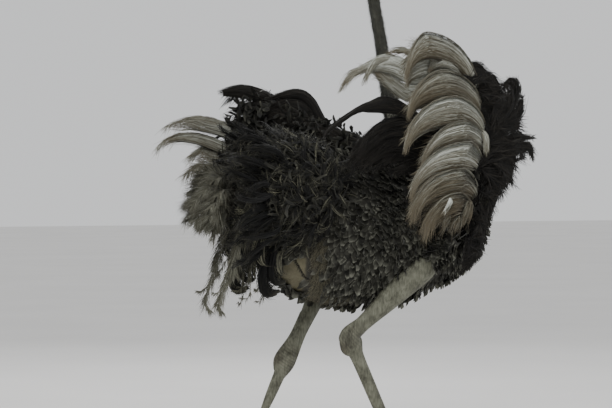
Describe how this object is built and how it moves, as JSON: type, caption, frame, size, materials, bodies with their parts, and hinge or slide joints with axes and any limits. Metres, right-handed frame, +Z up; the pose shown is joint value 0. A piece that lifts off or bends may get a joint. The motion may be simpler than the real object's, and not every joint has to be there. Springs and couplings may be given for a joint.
{
  "type": "ostrich",
  "caption": "Adult male common ostrich at life size, striding with its right wing raised in display and its tail feathers ruffled; a still model with no joints",
  "frame": {"origin": "on the floor, at the middle of the model's box", "axes": "+X the way the bird faces, +Y its left side, +Z up"},
  "size_m": [1.3898, 1.1252, 2.3414],
  "materials": {
    "flank_feathers": "dark grey short feathers with paler edges",
    "black_feathers": "loose black plumes",
    "white_plumes": "soft dirty white plumes, tan at the edges",
    "tail_plumes": "ragged off-white plumes",
    "neck_down": "short bristly down, grey brown",
    "bare_skin": "bare scaled skin, matt, pale grey",
    "horn": "horn, satin",
    "eye": "wet dark brown"
  },
  "bodies": {
    "root": {"trunk": "flank_feathers", "rump_feathers": "black_feathers", "tail": "tail_plumes", "neck_lower": "neck_down", "neck_upper": "neck_down", "head": "neck_down", "bill_upper": "horn", "bill_lower": "horn", "eye_right": "eye", "eye_left": "eye", "wing_right": "black_feathers", "wing_plumes_right": "white_plumes", "wing_left": "black_feathers", "wing_plumes_left": "white_plumes", "drumstick_right": "bare_skin", "shank_right": "bare_skin", "foot_right": "bare_skin", "claw_right": "horn", "drumstick_left": "bare_skin", "shank_left": "bare_skin", "foot_left": "bare_skin", "claw_left": "horn"}
  },
  "joints": []
}
